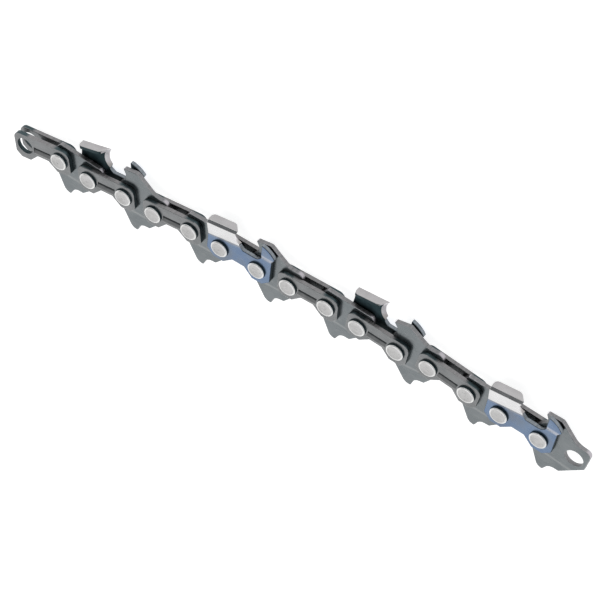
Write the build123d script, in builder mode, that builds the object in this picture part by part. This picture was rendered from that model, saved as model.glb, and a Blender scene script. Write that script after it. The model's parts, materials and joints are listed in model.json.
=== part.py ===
from build123d import *
import math
import os

# An open length of saw chain lying on its side, in millimetres.
# +X is the way the chain runs, +Y the side that cuts, +Z its right-hand side.

# Rivets and stock
side_spacing = 10.15  # rivet to rivet on a tie strap or a cutter
drive_spacing = 8.49  # rivet to rivet on a drive link
drive_gauge = 1.1  # thickness of a drive link, which runs in the groove of the bar
plate_thickness = 1.05  # tie straps and cutters
side_clearance = 0.05  # between a drive link and the plate beside it
rivet_radius = 2.2
rivet_sides = 20  # a rivet, and the hole that it fills in a plate, has this many narrow sides
rivet_clearance = 0.05  # round a rivet in a drive link, and in the free holes at the rear end
rivet_stand = 0.68  # how far a rivet's end stands out of its plate

# Tie strap, measured from the rivet line and from the rivets
strap_end = 3.0
strap_top = 3.45
strap_shoulder = 1.8
foot_depth = 3.9
foot_toe = 1.6  # the sole reaches this far past the rivet
foot_heel = 1.1  # and this far inwards from it
arch_height = 1.6
arch_flat = 1.6  # half the straight length at the top of the arch
groove_length = 5.0
groove_top = 0.85
groove_foot = -1.1
groove_depth = 0.38

# Drive link, with points of its outline from the middle of its two rivets
link_end = 3.15
link_top = 4.35
link_rear_land = 1.2  # half the straight length at the rear end
link_rear_top = 0.95  # the top edge starts this far behind the rear rivet
link_shoulder = 1.4
link_nose_drop = 1.5  # the front end is straight down to here
tang_toe = (2.55, -7.35)
tang_notch = (0.17, -7.58)
tang_notch_radius = 2.0
tang_tip = (-0.85, -10.15)
tang_heel = (-2.25, -10.2)
tang_heel_radius = 2.0

# Bumper, a fin on top of every other drive link
fin_root = (-4.75, 5.0)
fin_notch = (-4.6, 6.4)
fin_notch_radius = 0.6
fin_beak = (-5.3, 7.8)
fin_back = (-5.1, 8.05)
fin_brow = (-1.4, 8.55)
fin_brow_radius = 1.0
fin_foot = 3.6
fin_foot_radius = 4.0

# Cutter: a flat base, a cheek that leans outwards, and a top plate folded over the chain
cutter_end = 3.55
cheek_front = -0.1
cheek_bend = 4.25  # height of the bend at the front of the cheek
cheek_lean = 1.0
cheek_lap = 0.8  # length of the sheet below the bend
top_height = 9.4  # at the front of the cheek
top_fall = 9.7  # degrees, down towards the rear
top_thickness = 0.95
top_reach = 2.65  # from the outer corner to the free inner edge
top_corner = 1.0  # radius at the two ends of the free edge
corner_chamfer = 0.58
edge_x = -0.6  # outer end of the cutting edge
edge_angle = 33.0  # degrees that the edge is swept back
file_radius = 2.9
hook_depth = 0.68  # hollow behind the cutting edge
gullet_floor = 3.35
gullet_rear = 0.9
gullet_radius = 1.9

# Depth gauge, the nose at the front of a cutter
gauge_rear = 5.85
gauge_top = 9.05
gauge_nose = (9.5, 6.55)
gauge_crown = 0.44  # bow of its top
gauge_root = 4.9
gauge_set = 0.32  # set outwards between these two heights
gauge_set_low = 4.6
gauge_set_high = 6.0

# Lie of the chain: the heading of each link in degrees, from the rear of the chain to its front
link_headings = (9.0, -4.5, 6.8, 0.7, 7.3, 1.4, -0.5, 2.8, 2.0, -3.7, -4.1, 6.2, -7.8, -3.2, -3.5, -7.8)

# Worked out from these
side_half = side_spacing / 2
drive_half = drive_spacing / 2
plate_inner = drive_gauge / 2 + side_clearance
plate_outer = plate_inner + plate_thickness
rivet_length = 2 * (plate_outer + rivet_stand)
strap_x = side_half + strap_end
cutter_x = side_half + cutter_end
link_x = drive_half + link_end
corner_z = plate_outer + cheek_lean
link_low = -drive_gauge / 2


def foot_from(end_x):
    """Corners of the front foot, from the end of the plate back to the arch."""
    toe_x = side_half + foot_toe
    return [
        (end_x, end_x - toe_x - foot_depth),
        (toe_x, -foot_depth),
        (side_half - foot_heel, -foot_depth),
        (arch_flat, -arch_height),
    ]


def turned_about(points):
    """The same corners on the rear half of the plate."""
    return [(-x, y) for x, y in reversed(points)]


# Tie strap with its oil groove, right-hand side
with BuildPart() as right_strap:
    with BuildSketch(Plane.XY.offset(plate_inner)) as strap_outline:
        strap_foot = foot_from(strap_x)
        with BuildLine():
            Polyline(
                (-strap_x, strap_top),
                (strap_x, strap_top),
                *strap_foot,
                *turned_about(strap_foot),
                close=True,
            )
        make_face()
        fillet(strap_outline.vertices().group_by(Axis.Y)[-1], strap_shoulder)
        with Locations((-side_half, 0), (side_half, 0)):
            RegularPolygon(rivet_radius, rivet_sides, mode=Mode.SUBTRACT)
    extrude(amount=plate_thickness)
    with BuildSketch(Plane.YZ):
        with BuildLine():
            Polyline(
                (groove_top, plate_outer),
                (groove_top, plate_outer - groove_depth),
                (groove_foot, plate_outer),
                close=True,
            )
        make_face()
    extrude(amount=groove_length / 2, both=True, mode=Mode.SUBTRACT)

with BuildPart() as left_strap:
    mirror(right_strap.part, about=Plane.XY)

# The rearmost straps have round free holes, for the rivet of the next link
with BuildPart() as right_end_strap:
    add(right_strap.part)
    with BuildSketch(Plane.XY.offset(plate_inner)):
        with Locations((-side_half, 0)):
            Circle(rivet_radius + rivet_clearance)
    extrude(amount=plate_thickness, mode=Mode.SUBTRACT)

with BuildPart() as left_end_strap:
    mirror(right_end_strap.part, about=Plane.XY)

# Right-hand cutter
fall = math.radians(top_fall)
cheek_drop = (cutter_x + cheek_front) * math.tan(fall)
with BuildPart() as right_cutter:
    # Base and depth gauge, cut from one flat outline
    with BuildSketch(Plane.XY.offset(plate_inner)) as cutter_outline:
        cutter_foot = foot_from(cutter_x)
        with BuildLine():
            Polyline(
                (cutter_x, gauge_root),
                *cutter_foot,
                *turned_about(cutter_foot),
                (-cutter_x, cheek_bend - cheek_drop),
                (cheek_front, cheek_bend),
                (gullet_rear, gullet_floor),
                (gauge_rear, gullet_floor),
                (gauge_rear, gauge_top),
            )
            SagittaArc((gauge_rear, gauge_top), gauge_nose, gauge_crown)
            Line(gauge_nose, (cutter_x, gauge_root))
        make_face()
        gullet_corner = cutter_outline.vertices().sort_by_distance((gauge_rear, gullet_floor, plate_inner))[0]
        fillet(gullet_corner, gullet_radius)
        with Locations((-side_half, 0), (side_half, 0)):
            RegularPolygon(rivet_radius, rivet_sides, mode=Mode.SUBTRACT)
    extrude(amount=plate_thickness + gauge_set)
    # The sheet is flat up to the depth gauge, which is set outwards
    with BuildSketch(Plane.YZ):
        with BuildLine():
            Polyline(
                (-foot_depth, plate_inner),
                (gauge_set_low, plate_inner),
                (gauge_set_high, plate_inner + gauge_set),
                (gauge_top, plate_inner + gauge_set),
                (gauge_top, plate_outer + gauge_set),
                (gauge_set_high, plate_outer + gauge_set),
                (gauge_set_low, plate_outer),
                (-foot_depth, plate_outer),
                close=True,
            )
        make_face()
    extrude(amount=side_spacing, both=True, mode=Mode.INTERSECT)
    # Cheek and top plate, one folded section that falls away towards the rear
    with BuildSketch(Plane.YZ.offset(cheek_front)):
        cheek_slope = cheek_lean / (top_height - corner_chamfer - cheek_bend)
        top_under = top_height - top_thickness
        with BuildLine():
            Polyline(
                (cheek_bend - cheek_lap, plate_inner),
                (cheek_bend, plate_inner),
                (top_under, plate_inner + cheek_slope * (top_under - cheek_bend)),
                (top_under, corner_z - top_reach),
                (top_height, corner_z - top_reach),
                (top_height, corner_z - corner_chamfer),
                (top_height - corner_chamfer, corner_z),
                (cheek_bend, plate_outer),
                (cheek_bend - cheek_lap, plate_outer),
                close=True,
            )
        make_face()
    cheek_run = (cutter_x + cheek_front) / math.cos(fall)
    extrude(amount=cheek_run, dir=(-math.cos(fall), -math.sin(fall), 0))
    # Hollow that a round file leaves under the cutting edge
    sweep_back = math.radians(edge_angle)
    edge_y = top_height - (cheek_front - edge_x) * math.tan(fall)
    file_ahead = file_radius - hook_depth
    file_below = math.sqrt(file_radius**2 - file_ahead**2)
    file_plane = Plane(
        origin=(edge_x, edge_y, corner_z - corner_chamfer),
        x_dir=(math.cos(sweep_back), 0, -math.sin(sweep_back)),
        z_dir=(math.sin(sweep_back), 0, math.cos(sweep_back)),
    )
    with BuildSketch(file_plane):
        with Locations((file_ahead, -file_below)):
            Circle(file_radius)
    extrude(amount=2 * top_reach, both=True, mode=Mode.SUBTRACT)
    # Rounded ends of the top plate's free edge
    free_edge = right_cutter.faces().sort_by(Axis.Z)[0]
    free_ends = free_edge.edges().sort_by(Axis.X)
    fillet([free_ends[0], free_ends[-1]], top_corner)

with BuildPart() as left_cutter:
    mirror(right_cutter.part, about=Plane.XY)

# Drive links: the tang below runs in the groove of the bar and meshes with the sprocket
tang_points = [(link_x, link_top), (link_x, -link_nose_drop), tang_toe, tang_notch, tang_tip, tang_heel]
rear_points = [(-link_x, -link_rear_land), (-link_x, link_rear_land)]
drive_holes = [(-drive_half, 0), (drive_half, 0)]

with BuildPart() as plain_link:
    with BuildSketch(Plane.XY.offset(link_low)) as plain_outline:
        with BuildLine():
            Polyline(*rear_points, (-drive_half - link_rear_top, link_top), *tang_points, close=True)
        make_face()
        fillet(plain_outline.vertices().sort_by_distance((link_x, link_top, link_low))[0], link_shoulder)
        fillet(plain_outline.vertices().sort_by_distance((*tang_notch, link_low))[0], tang_notch_radius)
        fillet(plain_outline.vertices().sort_by_distance((*tang_heel, link_low))[0], tang_heel_radius)
        with Locations(*drive_holes):
            Circle(rivet_radius + rivet_clearance, mode=Mode.SUBTRACT)
    extrude(amount=drive_gauge)

with BuildPart() as bumper_link:
    with BuildSketch(Plane.XY.offset(link_low)) as bumper_outline:
        fin_points = [fin_root, fin_notch, fin_beak, fin_back, fin_brow, (fin_foot, link_top)]
        with BuildLine():
            Polyline(*rear_points, *fin_points, *tang_points, close=True)
        make_face()
        fillet(bumper_outline.vertices().sort_by_distance((link_x, link_top, link_low))[0], link_shoulder)
        fillet(bumper_outline.vertices().sort_by_distance((*tang_notch, link_low))[0], tang_notch_radius)
        fillet(bumper_outline.vertices().sort_by_distance((*tang_heel, link_low))[0], tang_heel_radius)
        fillet(bumper_outline.vertices().sort_by_distance((*fin_notch, link_low))[0], fin_notch_radius)
        fillet(bumper_outline.vertices().sort_by_distance((*fin_brow, link_low))[0], fin_brow_radius)
        fin_end = bumper_outline.vertices().sort_by_distance((fin_foot, link_top, link_low))[0]
        fillet(fin_end, fin_foot_radius)
        with Locations(*drive_holes):
            Circle(rivet_radius + rivet_clearance, mode=Mode.SUBTRACT)
    extrude(amount=drive_gauge)

# Rivet: a pin through both plates and the drive link between them
with BuildPart() as rivet:
    with BuildSketch(Plane.XY.offset(-rivet_length / 2)):
        RegularPolygon(rivet_radius, rivet_sides)
    extrude(amount=rivet_length)

# The links laid end to end, each turned to its own heading, a side link first
pivots = [Vector(0, 0, 0)]
laid = {}
for index, heading in enumerate(link_headings):
    number = index // 2 + 1
    is_side = index % 2 == 0
    spacing = side_spacing if is_side else drive_spacing
    step = Vector(spacing, 0, 0).rotate(Axis.Z, heading)
    place = Location(pivots[-1] + step * 0.5, (0, 0, heading))
    pivots.append(pivots[-1] + step)
    if not is_side and number % 2 == 0:
        laid[f"bumper_drive_link_{number}"] = bumper_link.part.moved(place)
        continue
    if not is_side:
        laid[f"plain_drive_link_{number}"] = plain_link.part.moved(place)
        continue
    # Every fourth side link has a cutter on its right, and every fourth one on its left
    if number % 4 == 0:
        laid[f"right_cutter_{number}"] = right_cutter.part.moved(place)
    else:
        right_piece = right_end_strap if index == 0 else right_strap
        laid[f"right_tie_strap_{number}"] = right_piece.part.moved(place)
    if number % 4 == 2:
        laid[f"left_cutter_{number}"] = left_cutter.part.moved(place)
    else:
        left_piece = left_end_strap if index == 0 else left_strap
        laid[f"left_tie_strap_{number}"] = left_piece.part.moved(place)
    if index > 0:
        laid[f"rivet_{index:02d}"] = rivet.part.moved(place * Location((-side_half, 0, 0)))
    laid[f"rivet_{index + 1:02d}"] = rivet.part.moved(place * Location((side_half, 0, 0)))

# Origin under the middle of the whole length, on the surface that it lies on
chain_box = Compound(list(laid.values())).bounding_box()
at_rest = Location((-chain_box.center().X, -chain_box.center().Y, -chain_box.min.Z))

os.makedirs("parts", exist_ok=True)
for name, solid in laid.items():
    with BuildPart() as piece:
        with Locations(at_rest):
            add(solid)
    piece.part.label = name
    export_step(piece.part, f"parts/{name}.step")
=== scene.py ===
import json
import math

import bmesh
import bpy
from mathutils import Matrix, Vector


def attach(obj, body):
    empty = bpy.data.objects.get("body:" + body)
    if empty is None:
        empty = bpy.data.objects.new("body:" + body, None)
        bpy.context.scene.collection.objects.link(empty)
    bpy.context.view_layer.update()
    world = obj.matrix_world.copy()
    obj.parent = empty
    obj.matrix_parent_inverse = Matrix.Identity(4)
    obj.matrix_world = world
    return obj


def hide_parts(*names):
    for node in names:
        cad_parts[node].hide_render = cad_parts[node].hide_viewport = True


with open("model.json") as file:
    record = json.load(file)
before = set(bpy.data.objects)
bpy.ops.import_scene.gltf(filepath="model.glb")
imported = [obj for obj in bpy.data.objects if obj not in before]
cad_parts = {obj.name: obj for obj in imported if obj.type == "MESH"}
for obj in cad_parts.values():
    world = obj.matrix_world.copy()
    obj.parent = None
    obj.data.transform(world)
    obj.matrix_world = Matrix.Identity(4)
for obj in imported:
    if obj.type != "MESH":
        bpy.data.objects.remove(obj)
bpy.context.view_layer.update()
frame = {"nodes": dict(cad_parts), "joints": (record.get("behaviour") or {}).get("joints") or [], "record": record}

# Drive links
# Flat steel links with a tang below, stamped from strip, hardened and tumbled: dull grey, with streaked sheared sides.
# Each hangs on two of the chain's seventeen pivots, which are fifteen rivets and a free hole at either end.
MM = 0.001
MERGE = 2e-6
FLAT = math.radians(0.5)
SIDE_TILT = 0.5
SHARP_ANGLE = math.radians(30)
SHADED_SHARP = math.radians(50)
EDGE_STEPS = 2
LINK_EDGE = 0.2 * MM
FACE, SHEARED = range(2)
free_holes = {mount["name"]: Vector(mount["pos_m"]) for mount in frame["record"]["mounts"]}
riveted = sorted(frame["joints"], key=lambda joint: joint["name"])
pivots = [free_holes["rear_link_holes"]]
pivots += [Vector(joint["pos_m"]) for joint in riveted]
pivots.append(free_holes["front_link_hole"])
bodies = frame["record"]["behaviour"]["bodies"]
link_of_node = {node: body for body, nodes in bodies.items() for node in nodes}


def to_link(body):
    """Matrix from the row frame, in metres, to a link's own frame, in millimetres from the middle of its pivots."""
    kind, number = body.rsplit("_link_", 1)
    index = 2 * (int(number) - 1) + (kind == "drive")
    reach = pivots[index + 1] - pivots[index]
    middle = (pivots[index] + pivots[index + 1]) / 2
    turn = Matrix.Rotation(-math.atan2(reach.y, reach.x), 4, "Z")
    return Matrix.Scale(1 / MM, 4) @ turn @ Matrix.Translation(-middle)


def nodes_of(kind):
    """The nodes of all pieces of one kind, in the order of their names."""
    return sorted(node for node in frame["nodes"] if kind in node)


def blank_from(node):
    """A plate's solid as a clean blank: its corners merged, and each flat side one face again."""
    blank = bmesh.new()
    blank.from_mesh(frame["nodes"][node].data)
    bmesh.ops.remove_doubles(blank, verts=blank.verts, dist=MERGE)
    bmesh.ops.dissolve_limit(blank, angle_limit=FLAT, verts=blank.verts, edges=blank.edges)
    return blank


def mark_sheared(blank):
    """Tells a plate's sheared sides from its two faces."""
    for face in blank.faces:
        face.material_index = SHEARED if abs(face.normal.z) < SIDE_TILT else FACE


def round_edges(blank, edges, width, steps):
    """Rounds some edges of the blank, and returns the rounded faces."""
    rounded = bmesh.ops.bevel(
        blank,
        geom=edges,
        offset=width,
        offset_type="OFFSET",
        segments=steps,
        profile=0.5,
        affect="EDGES",
        clamp_overlap=True,
        material=-1,
    )
    return rounded["faces"]


def tumble_edges(blank, width, left_sharp=()):
    """Rounds the blank's sharp edges, and marks the rounded faces for an edge tone: wear on most steels, painted shade
    on the cutters' blued and sheared steel.
    """
    sharp = [
        edge
        for edge in blank.edges
        if edge.is_manifold and edge.calc_face_angle() > SHARP_ANGLE and edge not in left_sharp
    ]
    edge_wear_and_shade = blank.faces.layers.float.new("edge_wear_and_shade")
    for face in round_edges(blank, sharp, width, EDGE_STEPS):
        face[edge_wear_and_shade] = 1.0


def finish_piece(name, blank, steels, node, own_frame):
    """Makes the piece from its blank: it stands for its solid, and knows each point's place in its own frame."""
    bmesh.ops.dissolve_degenerate(blank, dist=MERGE, edges=blank.edges)
    lie = blank.verts.layers.float_vector.new("lie")
    for vert in blank.verts:
        vert[lie] = own_frame @ vert.co
    for face in blank.faces:
        face.smooth = True
    for edge in blank.edges:
        edge.smooth = edge.is_manifold and edge.calc_face_angle() < SHADED_SHARP
    mesh = bpy.data.meshes.new(name)
    blank.to_mesh(mesh)
    blank.free()
    for steel in steels:
        mesh.materials.append(steel)
    piece = bpy.data.objects.new(name, mesh)
    bpy.context.scene.collection.objects.link(piece)
    even = piece.modifiers.new("even_shading", "WEIGHTED_NORMAL")
    even.keep_sharp = True
    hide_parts(node)
    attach(piece, link_of_node[node])


CLOUD_DETAIL, FINE_DETAIL = 3.0, 2.0
NOISE_SPAN = (0.3, 0.7)
RISING, FALLING = (0.0, 1.0), (1.0, 0.0)
WEAR_CELLS = 900
GRAIN_DEPTH = 0.03 * MM


def new_steel(name):
    """An empty procedural metal: its node tree, its shader and the piece's own coordinates."""
    steel = bpy.data.materials.new(name)
    steel.use_nodes = True
    tree = steel.node_tree
    shader = tree.nodes["Principled BSDF"]
    shader.inputs["Metallic"].default_value = 1.0
    place = tree.nodes.new("ShaderNodeTexCoord").outputs["Object"]
    return steel, tree, shader, place


def put(tree, value, socket):
    """Gives a socket its value: another socket, a plain colour or a number."""
    if isinstance(value, bpy.types.NodeSocket):
        tree.links.new(value, socket)
    elif isinstance(value, tuple):
        socket.default_value = (*value, 1)
    else:
        socket.default_value = value


def noise(tree, place, cells, detail=CLOUD_DETAIL):
    """Factor of a noise of so many cells to one unit of the place."""
    texture = tree.nodes.new("ShaderNodeTexNoise")
    texture.inputs["Scale"].default_value = cells
    texture.inputs["Detail"].default_value = detail
    tree.links.new(place, texture.inputs["Vector"])
    return texture.outputs["Fac"]


def drawn_out(tree, place, squeeze):
    """The place squeezed along an axis, so that a noise on it is drawn out that way."""
    mapping = tree.nodes.new("ShaderNodeMapping")
    mapping.inputs["Scale"].default_value = squeeze
    tree.links.new(place, mapping.inputs["Vector"])
    return mapping.outputs["Vector"]


def reckon(tree, operation, *numbers):
    """Result of one step of arithmetic."""
    step = tree.nodes.new("ShaderNodeMath")
    step.operation = operation
    for number, socket in zip(numbers, step.inputs):
        put(tree, number, socket)
    return step.outputs["Value"]


def run(tree, factor, span, share, kind="LINEAR"):
    """Number that runs from one end of the share to the other while the factor runs through the span."""
    scaled = tree.nodes.new("ShaderNodeMapRange")
    scaled.interpolation_type = kind
    for end, value in zip(("From Min", "From Max", "To Min", "To Max"), (*span, *share)):
        scaled.inputs[end].default_value = value
    tree.links.new(factor, scaled.inputs["Value"])
    return scaled.outputs["Result"]


def ramp(tree, factor, span, tones):
    """Colour that runs from a dark tone to a light one while the factor runs through the span."""
    band = tree.nodes.new("ShaderNodeValToRGB")
    for element, position, tone in zip(band.color_ramp.elements, span, tones):
        element.position = position
        element.color = (*tone, 1)
    tree.links.new(factor, band.inputs["Fac"])
    return band.outputs["Color"]


def mixed(tree, share, first, second):
    """Mix of two colours."""
    mix = tree.nodes.new("ShaderNodeMix")
    mix.data_type = "RGBA"
    put(tree, share, mix.inputs["Factor"])
    put(tree, first, mix.inputs["A"])
    put(tree, second, mix.inputs["B"])
    return mix.outputs["Result"]


def stained(tree, skin, tone, factor, span, share, kind="LINEAR"):
    """Skin that takes on a share of another tone while the factor runs through the span."""
    return mixed(tree, run(tree, factor, span, share, kind), skin, tone)


def tone_rounded_edges(tree, place, skin, tone, share):
    """Skin that takes another tone on the rounded edges, unevenly: lighter wear on most steels, dark painted shade on
    the cutters' blued and sheared steel.
    """
    edge_wear_and_shade = tree.nodes.new("ShaderNodeAttribute")
    edge_wear_and_shade.attribute_name = "edge_wear_and_shade"
    uneven = run(tree, noise(tree, place, WEAR_CELLS), NOISE_SPAN, share)
    return mixed(tree, reckon(tree, "MULTIPLY", edge_wear_and_shade.outputs["Fac"], uneven), skin, tone)


def own_lie(tree):
    """Place in the piece's own frame, in millimetres."""
    lie = tree.nodes.new("ShaderNodeAttribute")
    lie.attribute_name = "lie"
    return lie.outputs["Vector"]


def along_link(tree):
    """Place along the link, in millimetres from the middle of its pivots."""
    axes = tree.nodes.new("ShaderNodeSeparateXYZ")
    tree.links.new(own_lie(tree), axes.inputs["Vector"])
    return axes.outputs["X"]


def height_on_link(tree, lean=0.0, level=0.0):
    """Height over a line on the link, in millimetres: the rivet line, or one that leans and crosses at a level."""
    over = tree.nodes.new("ShaderNodeVectorMath")
    over.operation = "DOT_PRODUCT"
    over.inputs[1].default_value = (-lean, 1.0, 0.0)
    tree.links.new(own_lie(tree), over.inputs[0])
    return reckon(tree, "SUBTRACT", over.outputs["Value"], level)


def band_across(tree, height, levels, fade):
    """1 between two heights, fading to 0 over a soft edge at each."""
    low, high = levels
    above = run(tree, height, (low - fade, low + fade), RISING, "SMOOTHSTEP")
    below = run(tree, height, (high - fade, high + fade), FALLING, "SMOOTHSTEP")
    return reckon(tree, "MULTIPLY", above, below)


def finish_steel(tree, shader, skin, clouds, rough, grain, relief, depth=GRAIN_DEPTH):
    """Gives the metal its skin, a gloss that changes with the clouds, and the fine relief of its grain."""
    tree.links.new(skin, shader.inputs["Base Color"])
    tree.links.new(run(tree, clouds, NOISE_SPAN, rough), shader.inputs["Roughness"])
    bumps = tree.nodes.new("ShaderNodeBump")
    bumps.inputs["Strength"].default_value = relief
    bumps.inputs["Distance"].default_value = depth
    tree.links.new(grain, bumps.inputs["Height"])
    tree.links.new(bumps.outputs["Normal"], shader.inputs["Normal"])


TUMBLED_CLOUDS, TUMBLED_SPAN = 260, (0.32, 0.68)
TUMBLED_SPECKS, SPECK_SPAN, TUMBLED_SPECK_SHARE = 3000, (0.5, 0.72), (0.0, 0.35)
SCRATCH_CELLS, SCRATCH_SQUEEZE = 5.0, (0.12, 1.0, 1.0)
SCRATCH_SPAN, SCRATCH_SHARE = (0.56, 0.72), (0.0, 0.3)
SOLE_LEVELS, SOLE_FADE, SOLE_RUB = (-4.75, -4.15), 0.25, 0.45
TUMBLED_ROUGH, TUMBLED_RELIEF = (0.22, 0.32), 0.1


def tumbled_steel(name, tones, wear_and_painted_light_tone, edge_share):
    """Dull tumbled steel: cloudy grey skin, fine specks and scratches, lighter with wear on the sole and the rounded
    edges.
    """
    steel, tree, shader, place = new_steel(name)
    clouds = noise(tree, place, TUMBLED_CLOUDS)
    specks = noise(tree, place, TUMBLED_SPECKS, FINE_DETAIL)
    scratches = noise(tree, drawn_out(tree, own_lie(tree), SCRATCH_SQUEEZE), SCRATCH_CELLS, FINE_DETAIL)
    skin = ramp(tree, clouds, TUMBLED_SPAN, tones)
    skin = stained(tree, skin, tones[0], specks, SPECK_SPAN, TUMBLED_SPECK_SHARE)
    skin = stained(tree, skin, wear_and_painted_light_tone, scratches, SCRATCH_SPAN, SCRATCH_SHARE)
    on_sole = band_across(tree, height_on_link(tree), SOLE_LEVELS, SOLE_FADE)
    skin = mixed(tree, reckon(tree, "MULTIPLY", on_sole, SOLE_RUB), skin, wear_and_painted_light_tone)
    skin = tone_rounded_edges(tree, place, skin, wear_and_painted_light_tone, edge_share)
    finish_steel(tree, shader, skin, clouds, TUMBLED_ROUGH, specks, TUMBLED_RELIEF)
    return steel


STREAK_CELLS, STREAK_SQUEEZE = 2600, (1.0, 1.0, 0.1)
# Painted highlight: the sheared steel is lightened towards the link's front shoulder, standing in for a reflection
# there.
SHOULDER_HIGHLIGHT_FADE, SHOULDER_HIGHLIGHT_SHARE = 0.6, (0.0, 0.9)
# Painted shade: the sheared side is darkened near the plate's ends, below a height on the link.
BASE_TOP, END_SHADE_TONE, END_SHADE_SHARE = (4.0, 5.0), (0.028, 0.058, 0.066), (0.0, 0.85)
SHEARED_RUB, SHEARED_ROUGH, SHEARED_RELIEF = (0.2, 0.8), (0.38, 0.52), 0.2


def sheared_steel(name, tones, wear_and_painted_light_tone, edge_share=SHEARED_RUB, shoulder=None, shaded_ends=None):
    """Sheared side of a plate, streaked by the punch, with a painted highlight on its front shoulder or painted shade
    at its ends.
    """
    steel, tree, shader, place = new_steel(name)
    streaks = noise(tree, drawn_out(tree, place, STREAK_SQUEEZE), STREAK_CELLS, FINE_DETAIL)
    skin = ramp(tree, streaks, NOISE_SPAN, tones)
    # Painted highlight on the front shoulder.
    if shoulder:
        front, top = shoulder
        in_front = run(tree, along_link(tree), (front, front + SHOULDER_HIGHLIGHT_FADE), SHOULDER_HIGHLIGHT_SHARE)
        on_top = run(tree, height_on_link(tree), (top, top + SHOULDER_HIGHLIGHT_FADE), RISING)
        skin = mixed(tree, reckon(tree, "MULTIPLY", in_front, on_top), skin, wear_and_painted_light_tone)
    # Painted shade near the ends.
    if shaded_ends:
        from_middle = reckon(tree, "ABSOLUTE", along_link(tree))
        at_end = run(tree, from_middle, shaded_ends, END_SHADE_SHARE, "SMOOTHSTEP")
        on_base = run(tree, height_on_link(tree), BASE_TOP, FALLING)
        skin = mixed(tree, reckon(tree, "MULTIPLY", at_end, on_base), skin, END_SHADE_TONE)
    skin = tone_rounded_edges(tree, place, skin, wear_and_painted_light_tone, edge_share)
    finish_steel(tree, shader, skin, streaks, SHEARED_ROUGH, streaks, SHEARED_RELIEF)
    return steel


LINK_TONES, LINK_WORN, LINK_RUB = ((0.197, 0.218, 0.228), (0.26, 0.281, 0.291)), (0.43, 0.44, 0.44), (0.0, 0.6)
LINK_SIDE_TONES, LINK_SIDE_WORN = ((0.17, 0.173, 0.178), (0.27, 0.268, 0.275)), (0.48, 0.455, 0.485)
# Front and top of the painted highlight on the drive links' shoulder, in millimetres.
LINK_SHOULDER_HIGHLIGHT = (5.7, 2.7)
link_steels = [
    tumbled_steel("tumbled_link_steel", LINK_TONES, LINK_WORN, LINK_RUB),
    sheared_steel("sheared_link_steel", LINK_SIDE_TONES, LINK_SIDE_WORN, shoulder=LINK_SHOULDER_HIGHLIGHT),
]
for node in nodes_of("drive_link"):
    blank = blank_from(node)
    mark_sheared(blank)
    tumble_edges(blank, LINK_EDGE)
    finish_piece(f"finished_{node}", blank, link_steels, node, to_link(link_of_node[node]))

# Tie straps
# Plain side plates that pair up with each other or with a cutter, stamped from steel strip like the drive links.
# A groove pressed in the outer face holds oil; painted shade darkens its deep side and the plate's sheared ends, and a
# painted highlight lightens its foot.
STRAP_EDGE = 0.2 * MM
GROOVE_FLOOR = 2
GROOVE_TILT = 0.995
GROOVE_LEVELS = (-1.1, 0.85)
GROOVE_CLOUDS, GROOVE_TONES = 900, ((0.15, 0.155, 0.158), (0.21, 0.213, 0.215))
# Painted highlight at the groove's foot, and painted shade towards its deep side.
FOOT_HIGHLIGHT_TONE, FOOT_HIGHLIGHT_SPAN, FOOT_HIGHLIGHT_SHARE = (0.5, 0.5, 0.5), (0.02, 0.14), (0.7, 0.0)
DEEP_SHADE_TONE, DEEP_SHADE_SPAN, DEEP_SHADE_SHARE = (0.012, 0.016, 0.018), (0.5, 0.68), (0.0, 0.9)
GROOVE_ROUGH, GROOVE_RELIEF = (0.3, 0.45), 0.08


def groove_steel_painted_light(name):
    """Sloping floor of the oil groove: a painted highlight at its foot, and painted shade towards its deep side."""
    steel, tree, shader, place = new_steel(name)
    up_groove = run(tree, height_on_link(tree), GROOVE_LEVELS, RISING)
    clouds = noise(tree, place, GROOVE_CLOUDS)
    skin = ramp(tree, clouds, NOISE_SPAN, GROOVE_TONES)
    skin = stained(tree, skin, FOOT_HIGHLIGHT_TONE, up_groove, FOOT_HIGHLIGHT_SPAN, FOOT_HIGHLIGHT_SHARE)
    skin = stained(tree, skin, DEEP_SHADE_TONE, up_groove, DEEP_SHADE_SPAN, DEEP_SHADE_SHARE, "SMOOTHSTEP")
    finish_steel(tree, shader, skin, clouds, GROOVE_ROUGH, clouds, GROOVE_RELIEF)
    return steel


STRAP_TONES, STRAP_WORN, STRAP_RUB = ((0.216, 0.224, 0.229), (0.294, 0.301, 0.306)), (0.46, 0.46, 0.46), (0.0, 0.35)
STRAP_SIDE_TONES, STRAP_SIDE_WORN = ((0.18, 0.178, 0.182), (0.28, 0.273, 0.278)), (0.36, 0.355, 0.36)
# Distances from the middle over which the straps' sheared ends take painted shade.
STRAP_SHADED_ENDS = (3.4, 4.6)
strap_steels = [
    tumbled_steel("tumbled_strap_steel", STRAP_TONES, STRAP_WORN, STRAP_RUB),
    sheared_steel("sheared_strap_steel", STRAP_SIDE_TONES, STRAP_SIDE_WORN, shaded_ends=STRAP_SHADED_ENDS),
    groove_steel_painted_light("groove_floor_painted_shade_and_highlight"),
]
for node in nodes_of("tie_strap"):
    blank = blank_from(node)
    mark_sheared(blank)
    for face in blank.faces:
        if SIDE_TILT < abs(face.normal.z) < GROOVE_TILT:
            face.material_index = GROOVE_FLOOR
    tumble_edges(blank, STRAP_EDGE)
    finish_piece(f"finished_{node}", blank, strap_steels, node, to_link(link_of_node[node]))

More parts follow.
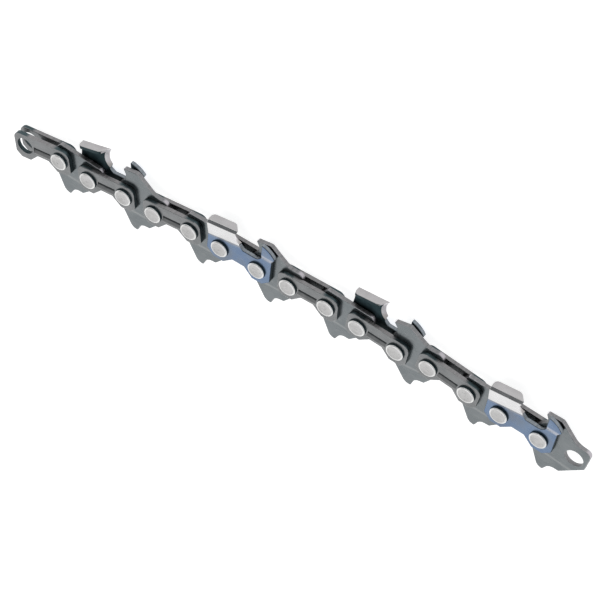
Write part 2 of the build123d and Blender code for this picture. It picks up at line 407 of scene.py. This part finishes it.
# Cutters
# Folded from one blank: a base like a strap, a depth gauge in front, and a leaning cheek with a top plate.
# The steel is blued by its heat treatment, chromed outside on cheek and top, and filed bright under the cutting edge.
CUTTER_EDGE = 0.14 * MM
SHORT_EDGE = 0.2 * MM
FOLD_ROUND, FOLD_STEPS = 0.14 * MM, 3
CHEEK_FRONT, CHEEK_BEND, BEND_MARGIN = -0.1, 4.25, 0.05
TOP_HEIGHT, TOP_FALL = 9.4, math.radians(9.7)
CORNER_Z, CORNER_CHAMFER = 2.65, 0.58
PLATE_INNER, INNER_MARGIN = 0.6, 0.1
EDGE_X, EDGE_ANGLE = -0.6, math.radians(33.0)
FILE_RADIUS, HOOK_DEPTH, FILE_TOUCH = 2.9, 0.68, 0.02
UNDER_TILT, TOP_TILT, CHEEK_TILT, OUTLINE_TILT = -0.7, 0.9, 0.3, 0.2
FOLD_OUTWARDS, FOLD_ENDWAYS = 0.7, 0.3
file_ahead = FILE_RADIUS - HOOK_DEPTH
file_along = Vector((math.sin(EDGE_ANGLE), 0, math.cos(EDGE_ANGLE)))
edge_height = TOP_HEIGHT - (CHEEK_FRONT - EDGE_X) * math.tan(TOP_FALL)
file_centre = Vector((EDGE_X, edge_height, CORNER_Z - CORNER_CHAMFER))
file_centre += Vector((math.cos(EDGE_ANGLE), 0, -math.sin(EDGE_ANGLE))) * file_ahead
file_centre.y -= math.sqrt(FILE_RADIUS**2 - file_ahead**2)


def on_file(point):
    """Whether a point of a cutter, in its link's frame with z outwards, lies on the round that the file left."""
    off = point - file_centre
    return abs((off - off.dot(file_along) * file_along).length - FILE_RADIUS) < FILE_TOUCH


def side_of(face, from_row):
    """The way a face looks, in the frame of the cutter's link with z outwards."""
    return (from_row.to_3x3() * MM) @ face.normal


def is_fold(edge, from_row):
    """Whether an edge is one of the two bends between a cutter's cheek and its top plate."""
    middle = from_row @ ((edge.verts[0].co + edge.verts[1].co) / 2)
    sides = [side_of(face, from_row) for face in edge.link_faces]
    outside = all(side.z + side.y > FOLD_OUTWARDS and abs(side.x) < FOLD_ENDWAYS for side in sides)
    behind = middle.x < CHEEK_FRONT and middle.y > CHEEK_BEND
    return outside and behind and edge.calc_face_angle(0) > SHARP_ANGLE


GULLET_FADE = 1.0
BLUED_CLOUDS, BLUED_TONES = 300, ((0.165, 0.24, 0.378), (0.238, 0.318, 0.446))
GREY_CLOUDS, GREY_TONE, GREY_SPAN, GREY_SHARE = 150, (0.215, 0.225, 0.24), (0.5, 0.68), (0.0, 0.55)
BEND_TONE, BEND_SPAN, BEND_SHARE = (0.36, 0.36, 0.37), (-0.75, 0.0), (0.0, 0.75)
FINE_SPECKS, BLUED_SPECK_TONE, BLUED_SPECK_SHARE = 2600, (0.13, 0.17, 0.26), (0.0, 0.3)
# Painted highlight on the band where the depth gauge is set out.
SET_HIGHLIGHT_TONE, SET_HIGHLIGHT_SHARE, SET_LEVELS, SET_FADE = (0.5, 0.52, 0.58), (0.75, 0.0), (4.6, 6.0), 0.3
# Painted shade: dark lines on the blued steel's rounded edges.
BLUED_EDGE_SHADE, BLUED_EDGE_SHADE_SHARE = (0.05, 0.07, 0.11), (0.6, 1.0)
BLUED_ROUGH, BLUED_RELIEF = (0.22, 0.32), 0.08


def behind_gullet(tree):
    """1 behind the front of the cheek, 0 from the gullet forwards."""
    return run(tree, along_link(tree), (CHEEK_FRONT, CHEEK_FRONT + GULLET_FADE), FALLING)


def blued_steel(name):
    """Heat-blued steel, clouded from grey to steel blue, greyer under the bend, with a painted highlight where the
    gauge is set out.
    """
    steel, tree, shader, place = new_steel(name)
    clouds = noise(tree, place, BLUED_CLOUDS)
    specks = noise(tree, place, FINE_SPECKS, FINE_DETAIL)
    skin = ramp(tree, clouds, NOISE_SPAN, BLUED_TONES)
    skin = stained(tree, skin, GREY_TONE, noise(tree, place, GREY_CLOUDS), GREY_SPAN, GREY_SHARE)
    over_bend = height_on_link(tree, math.tan(TOP_FALL), CHEEK_BEND)
    under_bend = run(tree, over_bend, BEND_SPAN, BEND_SHARE, "SMOOTHSTEP")
    skin = mixed(tree, reckon(tree, "MULTIPLY", under_bend, behind_gullet(tree)), skin, BEND_TONE)
    skin = stained(tree, skin, BLUED_SPECK_TONE, specks, SPECK_SPAN, BLUED_SPECK_SHARE)
    # Painted highlight on the set-out band of the gauge.
    on_gauge = run(tree, behind_gullet(tree), RISING, SET_HIGHLIGHT_SHARE)
    on_set = band_across(tree, height_on_link(tree), SET_LEVELS, SET_FADE)
    skin = mixed(tree, reckon(tree, "MULTIPLY", on_gauge, on_set), skin, SET_HIGHLIGHT_TONE)
    skin = tone_rounded_edges(tree, place, skin, BLUED_EDGE_SHADE, BLUED_EDGE_SHADE_SHARE)
    finish_steel(tree, shader, skin, clouds, BLUED_ROUGH, specks, BLUED_RELIEF)
    return steel


CHROME_CLOUDS, CHROME_RUB, CHROME_ROUGH = 240, (0.2, 0.7), (0.2, 0.29)
LINE_CELLS, LINE_SQUEEZE, LINE_SPAN, LINE_SHARE = 1.6, (0.08, 1.0, 1.0), (0.5, 0.75), (0.0, 0.5)
CHROME_RELIEF, FINE_DEPTH = 0.02, 0.01 * MM


def chromed_steel(name, tones):
    """Satin chrome, with faint clouds and rolling lines along the cutter."""
    steel, tree, shader, place = new_steel(name)
    clouds = noise(tree, place, CHROME_CLOUDS)
    lines = noise(tree, drawn_out(tree, own_lie(tree), LINE_SQUEEZE), LINE_CELLS, FINE_DETAIL)
    skin = ramp(tree, clouds, NOISE_SPAN, tones)
    skin = stained(tree, skin, tones[0], lines, LINE_SPAN, LINE_SHARE)
    skin = tone_rounded_edges(tree, place, skin, tones[1], CHROME_RUB)
    finish_steel(tree, shader, skin, clouds, CHROME_ROUGH, lines, CHROME_RELIEF, FINE_DEPTH)
    return steel


FILED_CELLS, FILED_DETAIL, FILED_TONES = 5200, 1.0, ((0.84, 0.82, 0.84), (0.95, 0.93, 0.95))
# Painted shade towards the foot of the filed hollow.
HOLLOW_SHADE_TONE, HOLLOW_SHADE_LEVELS, HOLLOW_SHADE_SHARE = (0.34, 0.32, 0.31), (4.8, 6.2), (0.9, 0.0)
FILED_ROUGH, FILED_RELIEF = (0.45, 0.6), 0.05


def filed_steel(name):
    """Bright steel with the fine scratches of the file, and painted shade towards the foot of the hollow."""
    steel, tree, shader, place = new_steel(name)
    scratches = noise(tree, place, FILED_CELLS, FILED_DETAIL)
    skin = ramp(tree, scratches, NOISE_SPAN, FILED_TONES)
    skin = stained(tree, skin, HOLLOW_SHADE_TONE, height_on_link(tree), HOLLOW_SHADE_LEVELS, HOLLOW_SHADE_SHARE, "SMOOTHSTEP")
    finish_steel(tree, shader, skin, scratches, FILED_ROUGH, scratches, FILED_RELIEF, FINE_DEPTH)
    return steel


SCALE_CLOUDS, SCALE_WORN, SCALE_RUB = 420, (0.16, 0.19, 0.21), (0.2, 0.7)
SCALE_ROUGH, SCALE_RELIEF = (0.36, 0.52), 0.1


def scaled_steel(name, tones):
    """Dark scale of the heat treatment, left where no tool or coat has reached."""
    steel, tree, shader, place = new_steel(name)
    clouds = noise(tree, place, SCALE_CLOUDS)
    specks = noise(tree, place, FINE_SPECKS, FINE_DETAIL)
    skin = ramp(tree, clouds, NOISE_SPAN, tones)
    skin = tone_rounded_edges(tree, place, skin, SCALE_WORN, SCALE_RUB)
    finish_steel(tree, shader, skin, clouds, SCALE_ROUGH, specks, SCALE_RELIEF)
    return steel


# One satin chrome in two copies: the top plate's copy is painted darker as shade.
CHEEK_TONES, TOP_SHADED_TONES = ((0.74, 0.735, 0.74), (0.84, 0.835, 0.84)), ((0.37, 0.36, 0.365), (0.455, 0.445, 0.45))
SCALE_TONES = ((0.022, 0.04, 0.047), (0.05, 0.08, 0.09))
# Painted shade: nearly black lines on the sheared cutter steel's rounded edges.
CUT_TONES, CUT_EDGE_SHADE, CUT_EDGE_SHADE_SHARE = ((0.16, 0.182, 0.202), (0.29, 0.315, 0.342)), (0.03, 0.036, 0.045), (0.7, 1.0)
# Distances from the middle over which the cutters' sheared ends take painted shade.
CUT_SHADED_ENDS = (6.6, 7.6)
cutter_steels = [
    blued_steel("blued_cutter_steel"),
    chromed_steel("chromed_cheek_steel", CHEEK_TONES),
    chromed_steel("chromed_top_painted_shade", TOP_SHADED_TONES),
    filed_steel("filed_cutter_steel"),
    scaled_steel("scaled_cutter_steel", SCALE_TONES),
    sheared_steel("sheared_cutter_steel", CUT_TONES, CUT_EDGE_SHADE, CUT_EDGE_SHADE_SHARE, shaded_ends=CUT_SHADED_ENDS),
]
BLUED, CHEEK, TOP, FILED, SCALED, CUT = range(len(cutter_steels))
for node in nodes_of("cutter"):
    outwards = 1 if node.startswith("right") else -1
    from_row = Matrix.Diagonal((1, 1, outwards, 1)) @ to_link(link_of_node[node])
    blank = blank_from(node)
    filed_points = {vert for vert in blank.verts if on_file(from_row @ vert.co)}
    for face in blank.faces:
        middle = from_row @ face.calc_center_median()
        side = side_of(face, from_row)
        bend = CHEEK_BEND + (middle.x - CHEEK_FRONT) * math.tan(TOP_FALL)
        folded = middle.y > bend + BEND_MARGIN and middle.x < CHEEK_FRONT
        if all(vert in filed_points for vert in face.verts):
            face.material_index = FILED
        elif side.z < -SIDE_TILT and (folded or middle.z > PLATE_INNER - INNER_MARGIN):
            face.material_index = SCALED
        elif side.y < UNDER_TILT and middle.y > CHEEK_BEND:
            face.material_index = SCALED
        elif folded and side.y > TOP_TILT:
            face.material_index = TOP
        elif folded and side.z > CHEEK_TILT:
            face.material_index = CHEEK
        elif abs(side.z) < SIDE_TILT or folded:
            face.material_index = CUT
        else:
            face.material_index = BLUED
    crowded = {vert for edge in blank.edges if edge.calc_length() < SHORT_EDGE for vert in edge.verts}
    kept = filed_points | crowded
    left_sharp = {edge for edge in blank.edges if is_fold(edge, from_row) or not kept.isdisjoint(edge.verts)}
    tumble_edges(blank, CUTTER_EDGE, left_sharp)
    edge_wear_and_shade = blank.faces.layers.float["edge_wear_and_shade"]
    for face in blank.faces:
        if abs(face.normal.z) < OUTLINE_TILT:
            face[edge_wear_and_shade] = 0.0
    round_edges(blank, [edge for edge in blank.edges if is_fold(edge, from_row)], FOLD_ROUND, FOLD_STEPS)
    finish_piece(f"finished_{node}", blank, cutter_steels, node, from_row)

# Rivets
# Steel pins through two plates and the drive link between them. Their ends are spun over in a press,
# which leaves bright flat faces with a rounded rim, and a small ring in the middle.
RIVET_HALF = 2.33 * MM
SPUN_STEPS = 48
SHANK_TILT = 0.3
SPUN, SHANK = range(2)
rivet_profile = [
    (0.0, -0.07),
    (0.38, -0.07),
    (0.5, -0.02),
    (0.62, -0.06),
    (0.8, -0.05),
    (1.55, -0.03),
    (1.8, 0.0),
    (1.95, -0.01),
    (2.08, -0.06),
    (2.16, -0.14),
    (2.2, -0.25),
]
SPUN_CLOUDS, SPUN_TONES = 700, ((0.56, 0.555, 0.55), (0.68, 0.675, 0.67))
PIT_TONE, PIT_SPAN, PIT_SHARE = (0.3, 0.3, 0.3), (0.58, 0.72), (0.0, 0.55)
RING_CELLS, RING_TONE, RING_SPAN, RING_SHARE = 7.0, (0.42, 0.42, 0.42), (0.5, 0.7), (0.0, 0.25)
# Painted highlight on the rim of the rivet face.
RIM_HIGHLIGHT_TONE, RIM_HIGHLIGHT_SPAN, RIM_HIGHLIGHT_SHARE = (0.95, 0.95, 0.94), (1.72, 1.92), (0.0, 0.85)
SPUN_ROUGH, SPUN_RELIEF = (0.28, 0.4), 0.12
ON_FACE = (1.0, 1.0, 0.0)


def off_axis(tree):
    """Distance from the rivet's axis, in millimetres."""
    apart = tree.nodes.new("ShaderNodeVectorMath")
    apart.operation = "LENGTH"
    tree.links.new(drawn_out(tree, own_lie(tree), ON_FACE), apart.inputs[0])
    return apart.outputs["Value"]


def spun_steel(name):
    """Bright steel of a rivet's spun face, with faint rings and dark specks, and a painted highlight at its rim."""
    steel, tree, shader, place = new_steel(name)
    clouds = noise(tree, place, SPUN_CLOUDS)
    specks = noise(tree, place, FINE_SPECKS, FINE_DETAIL)
    rings = noise(tree, off_axis(tree), RING_CELLS, FINE_DETAIL)
    skin = ramp(tree, clouds, NOISE_SPAN, SPUN_TONES)
    skin = stained(tree, skin, PIT_TONE, specks, PIT_SPAN, PIT_SHARE)
    skin = stained(tree, skin, RING_TONE, rings, RING_SPAN, RING_SHARE)
    skin = stained(tree, skin, RIM_HIGHLIGHT_TONE, off_axis(tree), RIM_HIGHLIGHT_SPAN, RIM_HIGHLIGHT_SHARE)
    finish_steel(tree, shader, skin, clouds, SPUN_ROUGH, rings, SPUN_RELIEF)
    return steel


SHANK_TONES = ((0.04, 0.07, 0.082), (0.088, 0.13, 0.146))
rivet_steels = [spun_steel("spun_rivet_steel"), scaled_steel("dark_rivet_shank", SHANK_TONES)]
for number in range(1, len(pivots) - 1):
    node = f"rivet_{number:02d}"
    blank = bmesh.new()
    ring = [blank.verts.new((r * MM, 0, RIVET_HALF + z * MM)) for r, z in rivet_profile]
    ring += [blank.verts.new((r * MM, 0, -RIVET_HALF - z * MM)) for r, z in reversed(rivet_profile)]
    outline = [blank.edges.new(pair) for pair in zip(ring, ring[1:])]
    bmesh.ops.spin(
        blank,
        geom=ring + outline,
        axis=(0, 0, 1),
        cent=(0, 0, 0),
        angle=math.tau,
        steps=SPUN_STEPS,
        use_merge=True,
    )
    bmesh.ops.remove_doubles(blank, verts=blank.verts, dist=MERGE)
    bmesh.ops.recalc_face_normals(blank, faces=blank.faces)
    for face in blank.faces:
        face.material_index = SHANK if abs(face.normal.z) < SHANK_TILT else SPUN
    bmesh.ops.translate(blank, verts=blank.verts, vec=pivots[number])
    own_frame = Matrix.Scale(1 / MM, 4) @ Matrix.Translation(-pivots[number])
    finish_piece(f"spun_{node}", blank, rivet_steels, node, own_frame)

# Floor, light and camera
# A pale floor that the chain lies on, soft light from low down all round, and a softbox overhead.
# A long lens looks down on the cutting side, turned along the chain and rolled a little.
FLOOR_REACH = 4.0
FLOOR_TONE, FLOOR_ROUGH, FLOOR_GLOW = (0.6, 0.6, 0.6), 0.9, 0.84
WHITE = (1.0, 1.0, 1.0)
floor_blank = bmesh.new()
bmesh.ops.create_grid(floor_blank, x_segments=1, y_segments=1, size=FLOOR_REACH)
floor_mesh = bpy.data.meshes.new("floor")
floor_blank.to_mesh(floor_mesh)
floor_blank.free()
floor = bpy.data.objects.new("floor", floor_mesh)
bpy.context.scene.collection.objects.link(floor)

pale = bpy.data.materials.new("pale_floor")
pale.use_nodes = True
tree = pale.node_tree
shader = tree.nodes["Principled BSDF"]
put(tree, FLOOR_TONE, shader.inputs["Base Color"])
put(tree, FLOOR_ROUGH, shader.inputs["Roughness"])
put(tree, 0.0, shader.inputs["Specular IOR Level"])
put(tree, WHITE, shader.inputs["Emission Color"])
path = tree.nodes.new("ShaderNodeLightPath")
seen = path.outputs["Is Camera Ray"]
for kind in ("Is Glossy Ray", "Is Transmission Ray"):
    seen = reckon(tree, "MAXIMUM", seen, path.outputs[kind])
put(tree, reckon(tree, "MULTIPLY", seen, FLOOR_GLOW), shader.inputs["Emission Strength"])
floor_mesh.materials.append(pale)

SKY_TURN, SKY_REACH, SKY_FADE = (-0.3, 0.5), (0.67, 0.4), (-0.07, 0.07)
HIGH_SKY = (0.12, 0.126, 0.131)
world = bpy.data.worlds.new("studio")
world.use_nodes = True
bpy.context.scene.world = world
tree = world.node_tree
toward = tree.nodes.new("ShaderNodeSeparateXYZ")
tree.links.new(tree.nodes.new("ShaderNodeTexCoord").outputs["Generated"], toward.inputs["Vector"])
reach = run(tree, toward.outputs["Y"], SKY_TURN, SKY_REACH, "SMOOTHSTEP")
over_reach = reckon(tree, "SUBTRACT", toward.outputs["Z"], reach)
sky = mixed(tree, run(tree, over_reach, SKY_FADE, RISING, "SMOOTHSTEP"), WHITE, HIGH_SKY)
tree.links.new(sky, tree.nodes["Background"].inputs["Color"])

softbox = bpy.data.lights.new("softbox", "AREA")
softbox.shape = "DISK"
softbox.size = 0.9
softbox.energy = 1.9
overhead = bpy.data.objects.new("softbox", softbox)
overhead.location = (0, -0.2, 0.75)
overhead.visible_camera = False
bpy.context.scene.collection.objects.link(overhead)

CAMERA_TURN, CAMERA_LIFT, CAMERA_ROLL = math.radians(29.1), math.radians(50.3), math.radians(6.86)
CAMERA_DISTANCE, CAMERA_NEAREST = 554.3 * MM, 10 * MM
PICTURE, FOCAL_PIXELS, AIM_PIXEL = 600, 2480.3, (293.47, 286.08)
SENSOR_WIDTH = 36
aim = sum(pivots[1:-1], Vector()) / len(riveted)
back = Vector(
    (
        math.sin(CAMERA_TURN) * math.cos(CAMERA_LIFT),
        math.sin(CAMERA_LIFT),
        math.cos(CAMERA_TURN) * math.cos(CAMERA_LIFT),
    )
)
level = Vector((math.cos(CAMERA_TURN), 0, -math.sin(CAMERA_TURN)))
upright = back.cross(level)
across = math.cos(CAMERA_ROLL) * level + math.sin(CAMERA_ROLL) * upright
upwards = math.cos(CAMERA_ROLL) * upright - math.sin(CAMERA_ROLL) * level
lens = bpy.data.cameras.new("camera")
lens.sensor_width = SENSOR_WIDTH
lens.lens = FOCAL_PIXELS / PICTURE * SENSOR_WIDTH
lens.shift_x = (PICTURE / 2 - AIM_PIXEL[0]) / PICTURE
lens.shift_y = (AIM_PIXEL[1] - PICTURE / 2) / PICTURE
lens.clip_start = CAMERA_NEAREST
camera = bpy.data.objects.new("camera", lens)
stand = Matrix.Translation(aim + back * CAMERA_DISTANCE)
camera.matrix_world = stand @ Matrix((across, upwards, back)).transposed().to_4x4()
bpy.context.scene.collection.objects.link(camera)
bpy.context.scene.camera = camera
bpy.context.scene.view_settings.view_transform = "Standard"
